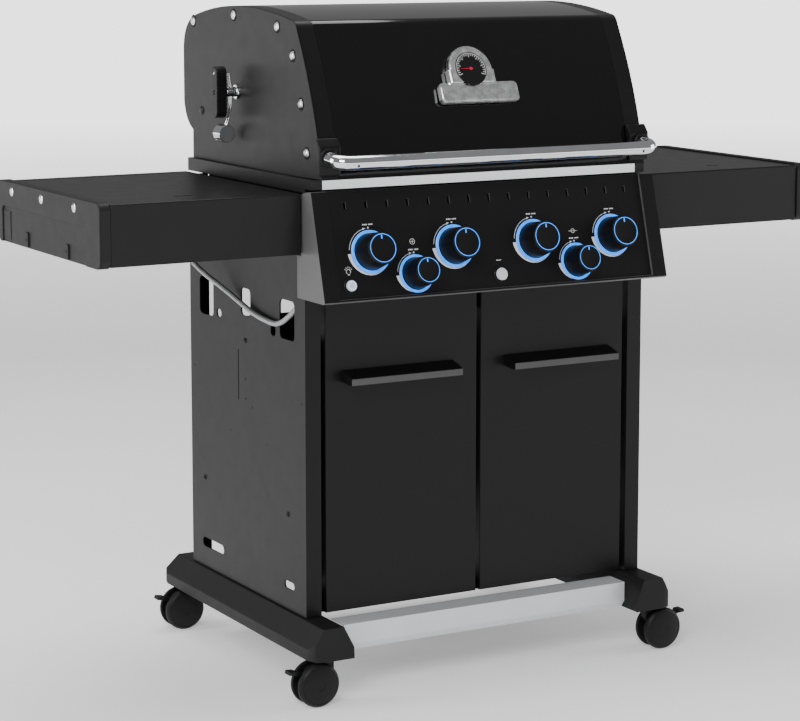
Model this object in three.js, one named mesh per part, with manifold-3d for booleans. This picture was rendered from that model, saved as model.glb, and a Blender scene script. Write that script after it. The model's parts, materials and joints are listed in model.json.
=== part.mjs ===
// Cabinet gas barbecue grill: four main burners, a side burner under a flip lid,
// a rear burner with a spit, a double-door cabinet and four braked casters.
// Millimetres, +Z up, +X to the right, front towards -Y.
// Parts are modelled with x = 0 at the middle, y = 0 at the cabinet's front plane and
// z = 0 on the floor; the finished assembly is then moved so that y = 0 is mid depth.

import * as THREE from 'three';
import { mergeVertices } from 'three/addons/utils/BufferGeometryUtils.js';
import Module from 'manifold-3d';

const wasm = await Module();
wasm.setup();

// ---------- driving dimensions ----------
const GAP = 0.3;                       // between pieces that touch

const CABINET_HALF = 349;              // outer half width
const CABINET_DEPTH = 470.5;
const CABINET_BOTTOM = 138.3;
const CABINET_TOP = 876;
const SHEET = 3;
const POST_WIDTH = 30;                 // front return of each side panel
const REAR_RETURN = 38;

const DOOR_BOTTOM = 143;
const DOOR_TOP = 695;
const DOOR_INNER = 4.5;                // half of the gap between the doors
const DOOR_OUTER = 309;
const DOOR_FRONT = 2;
const DOOR_BACK = 22;

const SHELF_IN = 355;
const SHELF_OUT = 705;
const SHELF_CAP_OUT = 725;             // overall half width
const SHELF_DEPTH = 467;
const SHELF_BOTTOM = 778;
const SHELF_TOP = 882;
const BURNER_LID = { x0: 390, x1: 687, y0: 20, y1: 440 };

const PANEL_TOP = { y: -27.4, z: 886 };
const PANEL_FOOT = { y: -77.4, z: 703 };
const PANEL_HALF = 351;
const PANEL_TILT = Math.atan2(PANEL_TOP.z - PANEL_FOOT.z, PANEL_TOP.y - PANEL_FOOT.y);
const FASCIA_HALF = 321.4;
const FASCIA_SINK = 5;

const LARGE_KNOBS = [-248, -82, 82, 248];
const SMALL_KNOBS = [-165, 165];
const LARGE_KNOB_DROP = 107;           // distance down the fascia from its top edge
const SMALL_KNOB_DROP = 150;
const BUTTON_DROP = 163;
const LIGHT_BUTTON_X = -296;
const IGNITION_BUTTON_X = 3;

const TUB_HALF = 322;
const TUB_FRONT = 12;
const TUB_BACK = 441;
const TUB_TOP = 885;
const DRAIN = { half: 108, front: 50, back: 420 };  // hole over the grease tray
const RUNNER_LIP = 106.5;              // inner edge of the lips under the grease tray
const GRID_TOP = 879;

const LID_HALF = 331;
const LID_PANEL_HALF = 297.6;
const LID_HINGE = { y: 449, z: 995 };
const SPIT = { y: 299, z: 1038 };

const BURNER_Z = 798;                  // axis of the main burner tubes
const PIPE = { y: -6, z: 752, r: 8 };  // gas manifold
const INLET = { x: -292, end: [-298.8, 3.29, 740.5] };
const SIDE_BURNER = { x: -538, y: 230 };
const SIDE_PIPE_Z = 795;
const HOSE_R = 4.75;
const BOTTLE_HOLE = { x: -170, y: 240, r: 150 };

const RAIL_FACE = -37;
const SKID = { z0: 80, z1: 138 };
const CASTER_X = 338;                  // swivel axis
const CASTER_TRAIL = 22;
const CASTER_Y = [-52, 502];
const WHEEL_R = 39;

// ---------- materials ----------
function paint(color, roughness, metalness = 0.3) {
  return new THREE.MeshStandardMaterial({ color, roughness, metalness });
}
const enamel = paint(0x0b0b0c, 0.12, 0.1);
const castBlack = paint(0x3a3a3a, 0.5);
const sheetBlack = paint(0x2f2f2f, 0.45);
const shelfGrey = paint(0x555555, 0.4);
const mouldedGrey = paint(0x4c4c4c, 0.55, 0);
const trimGrey = paint(0x5a5a5a, 0.45);
const chrome = paint(0xe8e8ea, 0.08, 1);
const stainless = paint(0xc8cacc, 0.3, 1);
const silver = paint(0xe4e6e9, 0.35, 0.7);
const castIron = paint(0x1d1d1d, 0.7, 0.4);
const rubber = paint(0x343434, 0.6, 0);

// ---------- geometry helpers ----------
const assembly = new THREE.Group();

function add(name, geometry, material, parent = assembly) {
  const mesh = new THREE.Mesh(geometry, material);
  mesh.name = name;
  parent.add(mesh);
  return mesh;
}

function toSolid(geometry) {
  const bare = geometry.clone();
  bare.deleteAttribute('normal');
  bare.deleteAttribute('uv');
  const merged = mergeVertices(bare, 1e-3);
  return new wasm.Manifold(new wasm.Mesh({
    numProp: 3,
    vertProperties: new Float32Array(merged.attributes.position.array),
    triVerts: new Uint32Array(merged.index.array),
  }));
}

function toGeometry(solid) {
  const mesh = solid.getMesh();
  const geometry = new THREE.BufferGeometry();
  geometry.setAttribute('position', new THREE.BufferAttribute(mesh.vertProperties, 3));
  geometry.setIndex(new THREE.BufferAttribute(mesh.triVerts, 1));
  geometry.computeVertexNormals();
  return geometry;
}

function join(...geometries) {
  return toGeometry(geometries.map(toSolid).reduce((whole, piece) => whole.add(piece)));
}

function cut(geometry, ...tools) {
  return toGeometry(tools.map(toSolid).reduce((left, tool) => left.subtract(tool), toSolid(geometry)));
}

function common(a, b) {
  return toGeometry(toSolid(a).intersect(toSolid(b)));
}

function box(x0, x1, y0, y1, z0, z1) {
  const size = [Math.abs(x1 - x0), Math.abs(y1 - y0), Math.abs(z1 - z0)];
  return new THREE.BoxGeometry(...size).translate((x0 + x1) / 2, (y0 + y1) / 2, (z0 + z1) / 2);
}

function outline(points) {
  return new THREE.Shape(points.map(([a, b]) => new THREE.Vector2(a, b)));
}

function roundedRect(a0, b0, a1, b1, r, target = new THREE.Shape()) {
  target.moveTo(a0 + r, b0);
  target.lineTo(a1 - r, b0);
  target.absarc(a1 - r, b0 + r, r, -Math.PI / 2, 0);
  target.absarc(a1 - r, b1 - r, r, 0, Math.PI / 2);
  target.absarc(a0 + r, b1 - r, r, Math.PI / 2, Math.PI);
  target.absarc(a0 + r, b0 + r, r, Math.PI, Math.PI * 1.5);
  target.closePath();
  return target;
}

function roundedHole(a0, b0, a1, b1, r) {
  return roundedRect(a0, b0, a1, b1, r, new THREE.Path());
}

function roundHole(a, b, r) {
  return new THREE.Path().absarc(a, b, r, 0, Math.PI * 2);
}

function extrude(shape, depth, curveSegments) {
  return new THREE.ExtrudeGeometry(shape, { depth, curveSegments, bevelEnabled: false });
}

// A (y, z) outline carried along X from x0 to x1.
function prismX(shape, x0, x1, curveSegments = 2) {
  const turned = new THREE.Matrix4().set(0, 0, 1, x0, 1, 0, 0, 0, 0, 1, 0, 0, 0, 0, 0, 1);
  return extrude(shape, x1 - x0, curveSegments).applyMatrix4(turned);
}

// An (x, z) outline carried along Y from y0 to y1.
function prismY(shape, y0, y1, curveSegments = 2) {
  return extrude(shape, y1 - y0, curveSegments).rotateX(Math.PI / 2).translate(0, y1, 0);
}

// An (x, y) outline carried up Z from z0 to z1.
function prismZ(shape, z0, z1, curveSegments = 2) {
  return extrude(shape, z1 - z0, curveSegments).translate(0, 0, z0);
}

// Round rods, named by the direction of their axis.
function rodX(x0, x1, y, z, r, sides = 12) {
  return new THREE.CylinderGeometry(r, r, x1 - x0, sides).rotateZ(Math.PI / 2).translate((x0 + x1) / 2, y, z);
}

function rodY(y0, y1, x, z, r, sides = 12) {
  return new THREE.CylinderGeometry(r, r, y1 - y0, sides).translate(x, (y0 + y1) / 2, z);
}

function rodZ(z0, z1, x, y, r, sides = 12) {
  return new THREE.CylinderGeometry(r, r, z1 - z0, sides).rotateX(Math.PI / 2).translate(x, y, (z0 + z1) / 2);
}

// A round rod between two points.
function rodBetween(from, to, r, sides = 12) {
  const [a, b] = [from, to].map((point) => new THREE.Vector3(...point));
  const along = b.clone().sub(a);
  const turn = new THREE.Quaternion().setFromUnitVectors(new THREE.Vector3(0, 1, 0), along.clone().normalize());
  const middle = a.add(b).multiplyScalar(0.5);
  return new THREE.CylinderGeometry(r, r, along.length(), sides).applyQuaternion(turn).translate(...middle);
}

// A [radius, height] profile turned about +Z.
function turned(profile, sides = 20) {
  const points = profile.map(([r, h]) => new THREE.Vector2(r, h));
  return new THREE.LatheGeometry(points, sides).rotateX(Math.PI / 2);
}

function mirrorX(geometry) {
  const mirrored = geometry.clone().scale(-1, 1, 1);
  const index = mirrored.index ?? mergeVertices(mirrored, 1e-3).index;
  const flipped = Array.from(index.array);
  for (let i = 0; i < flipped.length; i += 3) {
    [flipped[i], flipped[i + 1]] = [flipped[i + 1], flipped[i]];
  }
  mirrored.setIndex(flipped);
  return mirrored;
}

// Adds NAME_right as modelled on the +X side, and NAME_left as its mirror image.
function addPair(name, geometry, material) {
  const solid = toGeometry(toSolid(geometry));
  add(`${name}_right`, solid, material);
  add(`${name}_left`, mirrorX(solid), material);
}

// ---------- wheeled base ----------
function skid() {
  const { z0, z1 } = SKID;
  const section = outline([[295, z0], [375, z0], [375, 100], [354, z1], [314, z1], [295, 100]]);
  const side = outline([[-78, z0], [560, z0], [556, 100], [528, z1], [-74, z1]]);
  const plan = new THREE.Shape();
  plan.moveTo(290, -78);
  plan.lineTo(351, -78);
  plan.quadraticCurveTo(375, -78, 375, -54);
  plan.lineTo(375, 536);
  plan.quadraticCurveTo(375, 560, 351, 560);
  plan.lineTo(290, 560);
  const block = common(prismY(section, -78, 560), prismX(side, 290, 380));
  const rounded = common(block, prismZ(plan, z0, z1));
  const pocket = box(300, 370, -10, 460, z0 - 1, z1 - 6);
  const arch = outline([[299, 79], [371, 79], [371, 99], [351, 134], [318, 134], [299, 99]]);
  const pocketSlope = prismY(arch, -10, 460);
  return cut(rounded, common(pocket, pocketSlope));
}

function baseRail() {
  const face = RAIL_FACE;
  const sheet = 2;
  const profile = outline([
    [face, 93], [face, 129], [12, 129], [12, 129 - sheet], [face + sheet, 129 - sheet],
    [face + sheet, 94], [face + 12, 81], [face + 9, 80.5],
  ]);
  return prismX(profile, -294.6, 294.6);
}

// ---------- casters ----------
// Twin-wheel caster with its swivel axis at the local origin and its wheel towards +X.
function casterHousing() {
  const hood = new THREE.Shape();
  hood.moveTo(-11, 79.6);
  hood.lineTo(-11, 60);
  hood.lineTo(CASTER_TRAIL - 10, 30);
  hood.lineTo(CASTER_TRAIL + 12, 30);
  hood.lineTo(CASTER_TRAIL + 24, 44);
  hood.quadraticCurveTo(CASTER_TRAIL + 22, 74, CASTER_TRAIL - 6, 77);
  hood.lineTo(14, 79.6);
  const body = prismY(hood, -8, 8);
  const neck = rodZ(60, 79.7, 0, 0, 8.5);
  const washer = rodZ(78.3, 79.7, 0, 0, 16);
  const stem = rodZ(79, 92, 0, 0, 5.5, 12);
  const bore = rodY(-20, 20, CASTER_TRAIL, WHEEL_R, 5.2);
  const slot = box(CASTER_TRAIL + 14, CASTER_TRAIL + 40, -4.5, 4.5, 50, 70);
  return cut(join(body, neck, washer, stem), bore, slot);
}

function casterWheels() {
  const axle = 4.6;
  const profile = [[0, -25], [24, -24.5], [35, -21.5], [WHEEL_R, -16], [WHEEL_R, -9.5], [axle, -9.5],
    [axle, 9.5], [WHEEL_R, 9.5], [WHEEL_R, 16], [35, 21.5], [24, 24.5], [0, 25]];
  return turned(profile, 20).rotateX(-Math.PI / 2);
}

function brakeLever() {
  const shape = outline([
    [CASTER_TRAIL + 18, 54], [CASTER_TRAIL + 18, 60], [CASTER_TRAIL + 38, 66.5],
    [CASTER_TRAIL + 52, 68], [CASTER_TRAIL + 54, 62], [CASTER_TRAIL + 36, 57],
  ]);
  const arm = prismY(shape, -4, 4);
  const pedal = prismY(outline([
    [CASTER_TRAIL + 41, 61], [CASTER_TRAIL + 40.3, 66.8], [CASTER_TRAIL + 52, 68], [CASTER_TRAIL + 54, 62],
  ]), -10, 10);
  return join(arm, pedal);
}

function addCasters() {
  for (const side of ['left', 'right']) {
    CASTER_Y.forEach((y, row) => {
      const name = `${row === 0 ? 'front' : 'rear'}_${side}`;
      const caster = new THREE.Group();
      caster.position.set(side === 'left' ? -CASTER_X : CASTER_X, y, 0);
      caster.rotation.z = side === 'left' ? Math.PI : 0;
      assembly.add(caster);
      add(`caster_housing_${name}`, casterHousing(), rubber, caster);
      const wheel = add(`caster_wheel_${name}`, casterWheels(), rubber, caster);
      wheel.position.set(CASTER_TRAIL, 0, WHEEL_R);
      add(`brake_lever_${name}`, brakeLever(), rubber, caster);
    });
  }
}

// The caster stems stand in these sockets under the skids.
function stemSockets() {
  return CASTER_Y.map((y) => rodZ(70, 94, CASTER_X, y, 6, 12));
}

// ---------- cabinet ----------
function sidePanel() {
  const web = outline([
    [0, CABINET_BOTTOM], [CABINET_DEPTH, CABINET_BOTTOM], [CABINET_DEPTH, CABINET_TOP], [0, CABINET_TOP],
  ]);
  web.holes.push(
    roundedHole(369, 620, 428, 691, 10),
    roundedHole(335, 623, 355, 638, 7),
    roundedHole(214, 640, 252, 690, 8),
    roundedHole(40, 620, 97, 690, 10),
    roundedHole(113, 619, 133, 639, 9),
    roundedHole(263, 482, 267, 575, 1.5),
    roundedHole(334, 177, 425, 195, 8.5),
    roundedHole(46, 176, 84, 190, 6.5),
  );
  const outer = CABINET_HALF;
  const inner = outer - SHEET;
  const plate = prismX(web, inner, outer);
  const post = box(outer - POST_WIDTH, outer, 0, SHEET, CABINET_BOTTOM, DOOR_TOP + 3);
  const postLip = box(outer - POST_WIDTH, outer - POST_WIDTH + SHEET, 0, 20, CABINET_BOTTOM, DOOR_TOP + 3);
  const rearFace = CABINET_DEPTH - SHEET;
  const rear = box(outer - REAR_RETURN, outer, rearFace, CABINET_DEPTH, CABINET_BOTTOM, CABINET_TOP);
  return join(plate, post, postLip, rear);
}

function backPanel() {
  const back = CABINET_DEPTH - SHEET - GAP;
  const half = CABINET_HALF - SHEET - GAP;
  const shape = roundedRect(-half, 175, half, 600, 6);
  for (let row = 0; row < 3; row += 1) {
    const z = 250 + row * 120;
    shape.holes.push(roundedHole(-60, z, 60, z + 10, 4.5));
  }
  return prismY(shape, back - 2, back);
}

// Open on the left for a gas bottle, which stands lower than the doors' foot.
function cabinetFloor() {
  const shape = outline([[-345, 26], [345, 26], [345, 464], [-345, 464]]);
  shape.holes.push(roundHole(BOTTLE_HOLE.x, BOTTLE_HOLE.y, BOTTLE_HOLE.r));
  const plate = prismZ(shape, CABINET_BOTTOM, CABINET_BOTTOM + SHEET, 12);
  const lip = box(-310, 310, 26, 26 + SHEET, CABINET_BOTTOM, CABINET_BOTTOM + 22);
  return join(plate, lip);
}

// ---------- doors ----------
function door() {
  const pan = box(DOOR_INNER, DOOR_OUTER, DOOR_FRONT, DOOR_BACK, DOOR_BOTTOM, DOOR_TOP);
  const hollow = box(
    DOOR_INNER + 2, DOOR_OUTER - 2, DOOR_FRONT + 2.5, DOOR_BACK + 1, DOOR_BOTTOM + 2, DOOR_TOP - 2,
  );
  const brace = box(DOOR_INNER, DOOR_OUTER, DOOR_BACK - 2, DOOR_BACK, 540, 580);
  return join(cut(pan, hollow), brace);
}

function doorHandle(x0, x1) {
  const back = DOOR_FRONT - GAP;
  const section = outline([[-35, 548], [-35, 560], [-20, 565.5], [back, 571], [back, 550], [-20, 548]]);
  const bar = prismX(section, x0, x1);
  const fingerRoom = prismX(outline([[-29, 546], [-29, 555], [-8, 560], [-8, 546]]), x0 + 6, x1 - 6);
  return cut(bar, fingerRoom);
}

// ---------- side shelves ----------
function shelfShell() {
  const shell = box(SHELF_IN, SHELF_OUT, 0, SHELF_DEPTH, SHELF_BOTTOM, SHELF_TOP);
  const hollow = box(SHELF_IN + 3, SHELF_OUT - 3, 3, SHELF_DEPTH - 3, SHELF_BOTTOM - 1, SHELF_TOP - 3);
  return cut(shell, hollow);
}

// The inner wall carries a bracket which bears on the cabinet's side panel.
function shelfBracket() {
  return box(CABINET_HALF + GAP, SHELF_IN + 1, 60, 440, SHELF_BOTTOM + 6, SHELF_TOP - 12);
}

function rightShelf() {
  const slot = prismZ(roundedRect(549, 73, 578, 79, 2.9), SHELF_TOP - 5, SHELF_TOP + 1, 3);
  return cut(join(shelfShell(), shelfBracket()), slot);
}

// The left shelf has a pressed pan for the side burner, under the flip lid.
function leftShelf() {
  const { x0, x1, y0, y1 } = BURNER_LID;
  const frame = join(shelfShell(), shelfBracket());
  const mouth = box(x0 - GAP, x1 + GAP, y0 - GAP, y1 + 4, SHELF_TOP - 4 - GAP, SHELF_TOP + 1);
  const pan = box(x0 - 3, x1 + 3, y0 - 3, y1 + 7, 812, SHELF_TOP - 2);
  const well = box(x0 + 5, x1 - 5, y0 + 5, y1 - 5, 815, SHELF_TOP + 1);
  const inlet = rodZ(800, 830, -SIDE_BURNER.x, SIDE_BURNER.y, 14);
  return mirrorX(cut(join(frame, pan), mouth, well, inlet));
}

function burnerLid() {
  const { x0, x1, y0, y1 } = BURNER_LID;
  const sheet = box(x0, x1, y0, y1, SHELF_TOP - 4, SHELF_TOP);
  const slot = prismZ(roundedRect(526, 67, 559, 73, 2.9), SHELF_TOP - 5, SHELF_TOP + 1, 3);
  return mirrorX(cut(sheet, slot));
}

// Turned burner head on a mixing tube that comes up through the pan.
function sideBurner() {
  const profile = [
    [0, 816], [13, 816], [13, 822], [44, 824], [48, 830], [48, 840], [40, 846], [18, 850], [0, 850],
  ];
  const head = turned(profile, 18);
  const tube = rodZ(SIDE_PIPE_Z, 822, 0, 0, 10);
  const branch = rodY(-4, 178, 0, SIDE_PIPE_Z, 9);
  const arm = rodX(-4, 157, 178, SIDE_PIPE_Z, 9);
  const inlet = rodZ(781, 803, 148, 178, 9);
  return join(head, tube, branch, arm, inlet).translate(SIDE_BURNER.x, SIDE_BURNER.y, 0);
}

function shelfCap() {
  const end = roundedRect(-3, SHELF_BOTTOM - 3, SHELF_DEPTH + 3, SHELF_TOP + 3, 15);
  const body = prismX(end, SHELF_OUT + GAP, SHELF_CAP_OUT, 3);
  const hollow = box(SHELF_OUT, SHELF_CAP_OUT - 6, 6, SHELF_DEPTH - 6, SHELF_BOTTOM + 8, SHELF_TOP - 8);
  const bench = box(SHELF_CAP_OUT - 3, SHELF_CAP_OUT + 1, 58, 448, SHELF_BOTTOM - 4, 840);
  const hooks = [145, 332].map((y) => box(SHELF_CAP_OUT - 4, SHELF_CAP_OUT, y - 8, y + 8, SHELF_BOTTOM - 2, 803));
  return join(cut(body, hollow, bench), ...hooks);
}

// ---------- firebox ----------
function tub() {
  const h = TUB_HALF;
  const outer = outline([[-h, TUB_TOP], [-h, 745], [-110, 695], [110, 695], [h, 745], [h, TUB_TOP]]);
  const inner = outline([
    [4 - h, TUB_TOP + 1], [4 - h, 748], [-109, 699], [109, 699], [h - 4, 748], [h - 4, TUB_TOP + 1],
  ]);
  const walls = cut(prismY(outer, TUB_FRONT, TUB_BACK), prismY(inner, TUB_FRONT + 4, TUB_BACK - 4));
  const drain = box(-DRAIN.half, DRAIN.half, DRAIN.front, DRAIN.back, 690, 705);
  const ports = LARGE_KNOBS.map((x) => rodY(TUB_FRONT - 2, TUB_FRONT + 6, x, BURNER_Z, 14));
  return cut(walls, drain, ...ports);
}

function rim() {
  const plan = outline([[-342, 12], [342, 12], [342, 490], [-342, 490]]);
  const mouth = TUB_HALF - 4;
  plan.holes.push(outline([[-mouth, 16], [mouth, 16], [mouth, 437], [-mouth, 437]]));
  const flange = prismZ(plan, TUB_TOP - 4, TUB_TOP);
  const bands = [-1, 1].map((side) => box(side * 332.5, side * 342, -13.5, 490, 888, 905));
  const feet = [-1, 1].map((side) => box(side * 332.5, side * 342, 12, 490, TUB_TOP - 3, 889));
  const corners = [-1, 1].map((side) => box(side * 322.2, side * 342, -13.5, -6, 888, 905));
  return join(flange, ...bands, ...feet, ...corners);
}

// Ledges under the cooking grids, and a rear shield with ears that hold the lid's hinge pins.
function fireboxFittings() {
  const ledgeTop = GRID_TOP - 10 - GAP;
  const ledges = [
    box(-TUB_HALF + 1, TUB_HALF - 1, TUB_FRONT + 3, TUB_FRONT + 14, ledgeTop - 5, ledgeTop),
    box(-TUB_HALF + 1, TUB_HALF - 1, TUB_BACK - 14, TUB_BACK - 3, ledgeTop - 5, ledgeTop),
  ];
  const shield = box(-284, 284, TUB_BACK - 4, TUB_BACK, TUB_TOP - 4, 984);
  const ear = outline([
    [395, TUB_TOP - 4], [TUB_BACK, TUB_TOP - 4], [463, 986], [463, 1004], [450, 1009], [432, 1004],
  ]);
  const ears = [-1, 1].map((side) => prismX(ear, side > 0 ? 282 : -290, side > 0 ? 290 : -282));
  const pins = [-1, 1].map((side) => {
    const reach = side > 0 ? [284, 333] : [-333, -284];
    return rodX(...reach, LID_HINGE.y, LID_HINGE.z, 5.5, 12);
  });
  const runners = [-1, 1].flatMap((side) => [
    box(side * 112, side * 116, 45, 430, 651, 699),
    box(side * RUNNER_LIP, side * 115, 45, 430, 651, 655),
  ]);
  return [...ledges, shield, ...ears, ...pins, ...runners];
}

function firebox() {
  return join(tub(), rim(), ...fireboxFittings());
}

function frontTrim() {
  const profile = outline([[-13.5, 888], [-13.5, 904], [8, 904], [8, 902], [-11.5, 902], [-11.5, 888]]);
  return prismX(profile, -321.6, 321.6);
}

function greaseTray() {
  const pan = box(-111, 111, 45, 425, 655.4, 690);
  const hollow = box(-108, 108, 48, 422, 658.4, 691);
  const pull = box(-40, 40, 424, 445, 680, 690);
  return join(cut(pan, hollow), pull);
}

// ---------- burners and gas ----------
function burnerTube(x) {
  const mixer = rodY(-26, 60, x, BURNER_Z, 10);
  const body = rodY(55, 415, x, BURNER_Z, 13);
  const flange = box(x - 18, x + 18, 414, 418, BURNER_Z - 13, BURNER_Z + 14);
  return join(mixer, body, flange);
}

// One folded sheet with a ridge over each burner and drip slots in the valleys between.
function heatPlates() {
  const thickness = 2;
  const ridges = [];
  for (const x of LARGE_KNOBS) {
    ridges.push([x - 62, 822], [x, 850], [x + 62, 822]);
  }
  const underside = ridges.map(([x, z]) => [x, z - thickness]).reverse();
  const sheet = prismY(outline([...ridges, ...underside]), 34, 419);
  const slots = [];
  for (const x of [-165, 0, 165]) {
    slots.push(box(x - 12, x + 12, 90, 200, 810, 830), box(x - 12, x + 12, 250, 360, 810, 830));
  }
  return cut(sheet, ...slots);
}

// Cast grid of bars along Y, with a cross bar in the middle.
function cookingGrid(x0, x1) {
  const border = 10;
  const bar = 8;
  const slots = 15;
  const pitch = (x1 - x0 - 2 * border + bar) / slots;
  const tools = [];
  for (let i = 0; i < slots; i += 1) {
    const left = x0 + border + i * pitch;
    tools.push(box(left, left + pitch - bar, 32, 222, GRID_TOP - 11, GRID_TOP + 1));
    tools.push(box(left, left + pitch - bar, 231, 421, GRID_TOP - 11, GRID_TOP + 1));
  }
  return cut(box(x0, x1, 20, 433, GRID_TOP - 10, GRID_TOP), ...tools);
}

function rearBurner() {
  const front = TUB_BACK - 4 - GAP;
  const body = box(-240, 240, front - 30, front, 900, 974);
  const recess = box(-228, 228, front - 31, front - 22, 912, 962);
  const feed = rodX(238, 268, front - 15, 930, 7, 12);
  return join(cut(body, recess), feed);
}

// Pipe across the grill behind the fascia, with a valve behind each knob.
function manifold() {
  const pipe = rodX(-300, 300, PIPE.y, PIPE.z, PIPE.r);
  const inlet = rodBetween([INLET.x, PIPE.y, PIPE.z], INLET.end, PIPE.r);
  const valves = LARGE_KNOBS.map((x) => box(x - 11, x + 11, -30, -2, 744, 784));
  const auxiliary = SMALL_KNOBS.map((x) => box(x - 11, x + 11, -38, -2, 722, 756));
  return join(pipe, inlet, ...valves, ...auxiliary);
}

// The braided hose leaves the side burner behind the shelf, hangs along the cabinet's left
// side, goes in through the front opening and rises along one slant to the manifold.
function gasHose() {
  const route = new THREE.CatmullRomCurve3([
    [-390, 408, 780.7], [-390, 408, 770], [-390, 405.3, 754.6], [-389.6, 397.5, 741.1],
    [-388.6, 386.8, 731.8], [-386.2, 370, 721.9], [-381.4, 350, 710.6], [-374.5, 328, 699.2],
    [-367, 305, 688.5], [-361, 280, 678.1], [-357.5, 255, 669.1], [-356.2, 228, 661.2],
    [-355.8, 198, 653.8], [-355.8, 168, 648.8], [-355.8, 136, 645.6], [-355.8, 105.8, 644.5],
    [-354.6, 91, 646.5], [-351.1, 77.6, 652.4], [-345.3, 66.4, 662.2], [-336.9, 55, 676.3],
    [-324.3, 37.9, 697.5], [-311.7, 20.8, 718.8], [-299.1, 3.7, 740],
  ].map((point) => new THREE.Vector3(...point)), false, 'centripetal');
  const section = new THREE.Shape().absarc(0, 0, HOSE_R, 0, Math.PI * 2);
  return new THREE.ExtrudeGeometry(section, {
    steps: 44, curveSegments: 4, extrudePath: route, bevelEnabled: false,
  });
}

// ---------- control panel ----------
// The y of the panel's sloping face at a height, or of a plane some depth behind it.
function faceY(z, depth = 0) {
  return PANEL_TOP.y + (z - PANEL_TOP.z) / Math.tan(PANEL_TILT) + depth / Math.sin(PANEL_TILT);
}

function panelBox() {
  const { y: ty, z: tz } = PANEL_TOP;
  const { y: fy, z: fz } = PANEL_FOOT;
  const rear = -0.5;
  const wall = 3;
  const behind = FASCIA_SINK + wall;
  const outer = outline([
    [ty, tz], [fy, fz], [fy + 4, fz - wall], [rear, fz - wall], [rear, tz - wall], [ty + 8, tz],
  ]);
  const recess = outline([
    [ty - 8, tz + 8], [fy - 10, fz + wall],
    [faceY(fz + wall, FASCIA_SINK), fz + wall], [faceY(tz + 8, FASCIA_SINK), tz + 8],
  ]);
  const inside = outline([
    [faceY(tz - 6, behind), tz - 6], [faceY(fz + wall, behind), fz + wall], [1, fz + wall], [1, tz - 6],
  ]);
  const shell = cut(prismX(outer, -PANEL_HALF, PANEL_HALF), prismX(inside, 4 - PANEL_HALF, PANEL_HALF - 4));
  return cut(shell, prismX(recess, -FASCIA_HALF, FASCIA_HALF));
}

// Ears that lap the outside of the cabinet's side panels.
function panelEars() {
  const ear = outline([[-2, 700], [24, 700], [24, 774], [9, 774], [9, 880], [-2, 882]]);
  const lap = [CABINET_HALF + GAP, PANEL_HALF];
  return [prismX(ear, ...lap), prismX(ear, -lap[1], -lap[0])];
}

function onFascia(geometry, x, drop) {
  const placed = geometry.clone().translate(x, -drop, -FASCIA_SINK);
  return placed.rotateX(PANEL_TILT).translate(0, PANEL_TOP.y, PANEL_TOP.z);
}

function controlPanel() {
  const openings = [];
  const bore = (r) => new THREE.CylinderGeometry(r, r, 20, 10).rotateX(Math.PI / 2);
  LARGE_KNOBS.forEach((x) => openings.push(onFascia(bore(6.5), x, LARGE_KNOB_DROP)));
  SMALL_KNOBS.forEach((x) => openings.push(onFascia(bore(6.5), x, SMALL_KNOB_DROP)));
  openings.push(onFascia(bore(6), LIGHT_BUTTON_X, BUTTON_DROP));
  openings.push(onFascia(bore(6), IGNITION_BUTTON_X, BUTTON_DROP));
  for (let i = -7; i <= 7; i += 1) {
    openings.push(onFascia(new THREE.BoxGeometry(5, 12.6, 30), i * 41, 25));
  }
  return cut(join(panelBox(), ...panelEars()), ...openings);
}

// Knobs and buttons are turned about the fascia's outward normal, from 0 at its surface.
function knob(scale) {
  const r = 32 * scale;
  const skirt = [[5.5, 1], [r, 1], [r * 0.97, 14], [r * 0.86, 43], [r * 0.8, 45.5]];
  return turned([[0, -18], [5.5, -18], ...skirt, [0, 45.5]]);
}

function button(r) {
  return turned([[0, -12], [5, -12], [5, 3.2], [r, 3.2], [r, 6.5], [r - 1.5, 8], [0, 8]], 16);
}

function addControls() {
  const fascia = new THREE.Group();
  fascia.position.set(0, PANEL_TOP.y, PANEL_TOP.z);
  fascia.rotation.x = PANEL_TILT;
  assembly.add(fascia);
  const place = (name, geometry, material, x, drop) => {
    add(name, geometry, material, fascia).position.set(x, -drop, -FASCIA_SINK);
  };
  LARGE_KNOBS.forEach((x, i) => place(`burner_knob_${i + 1}`, knob(1), castBlack, x, LARGE_KNOB_DROP));
  place('side_burner_knob', knob(0.86), castBlack, SMALL_KNOBS[0], SMALL_KNOB_DROP);
  place('rear_burner_knob', knob(0.86), castBlack, SMALL_KNOBS[1], SMALL_KNOB_DROP);
  place('light_button', button(9.6), stainless, LIGHT_BUTTON_X, BUTTON_DROP);
  place('ignition_button', button(11), stainless, IGNITION_BUTTON_X, BUTTON_DROP);
}

// ---------- lid ----------
// Side outline from the lid's rear edge, over the top, to the front edge, as (y, z).
function lidArc(withRearSkirt) {
  const path = new THREE.Path();
  if (withRearSkirt) {
    path.moveTo(490, 897);
    path.lineTo(490, 957);
    path.quadraticCurveTo(524, 972, 529, 1012);
  } else {
    path.moveTo(529, 1006);
  }
  path.lineTo(529, 1105);
  path.quadraticCurveTo(527, 1160, 470, 1172);
  path.quadraticCurveTo(290, 1212, 78, 1172.5);
  path.quadraticCurveTo(65, 1171, 59, 1154);
  path.quadraticCurveTo(-8, 1030, -30, 906);
  return path.getPoints(5).map((p) => [p.x, p.y]);
}

// Moves an open polyline sideways, to its left, by a distance.
function offset(points, distance) {
  return points.map(([a, b], i) => {
    const [pa, pb] = points[Math.max(i - 1, 0)];
    const [na, nb] = points[Math.min(i + 1, points.length - 1)];
    const length = Math.hypot(na - pa, nb - pb);
    return [a - (distance * (nb - pb)) / length, b + (distance * (na - pa)) / length];
  });
}

function lidBand(withRearSkirt, thickness) {
  const arc = lidArc(withRearSkirt);
  return outline([...arc, ...offset(arc, thickness).reverse()]);
}

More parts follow.
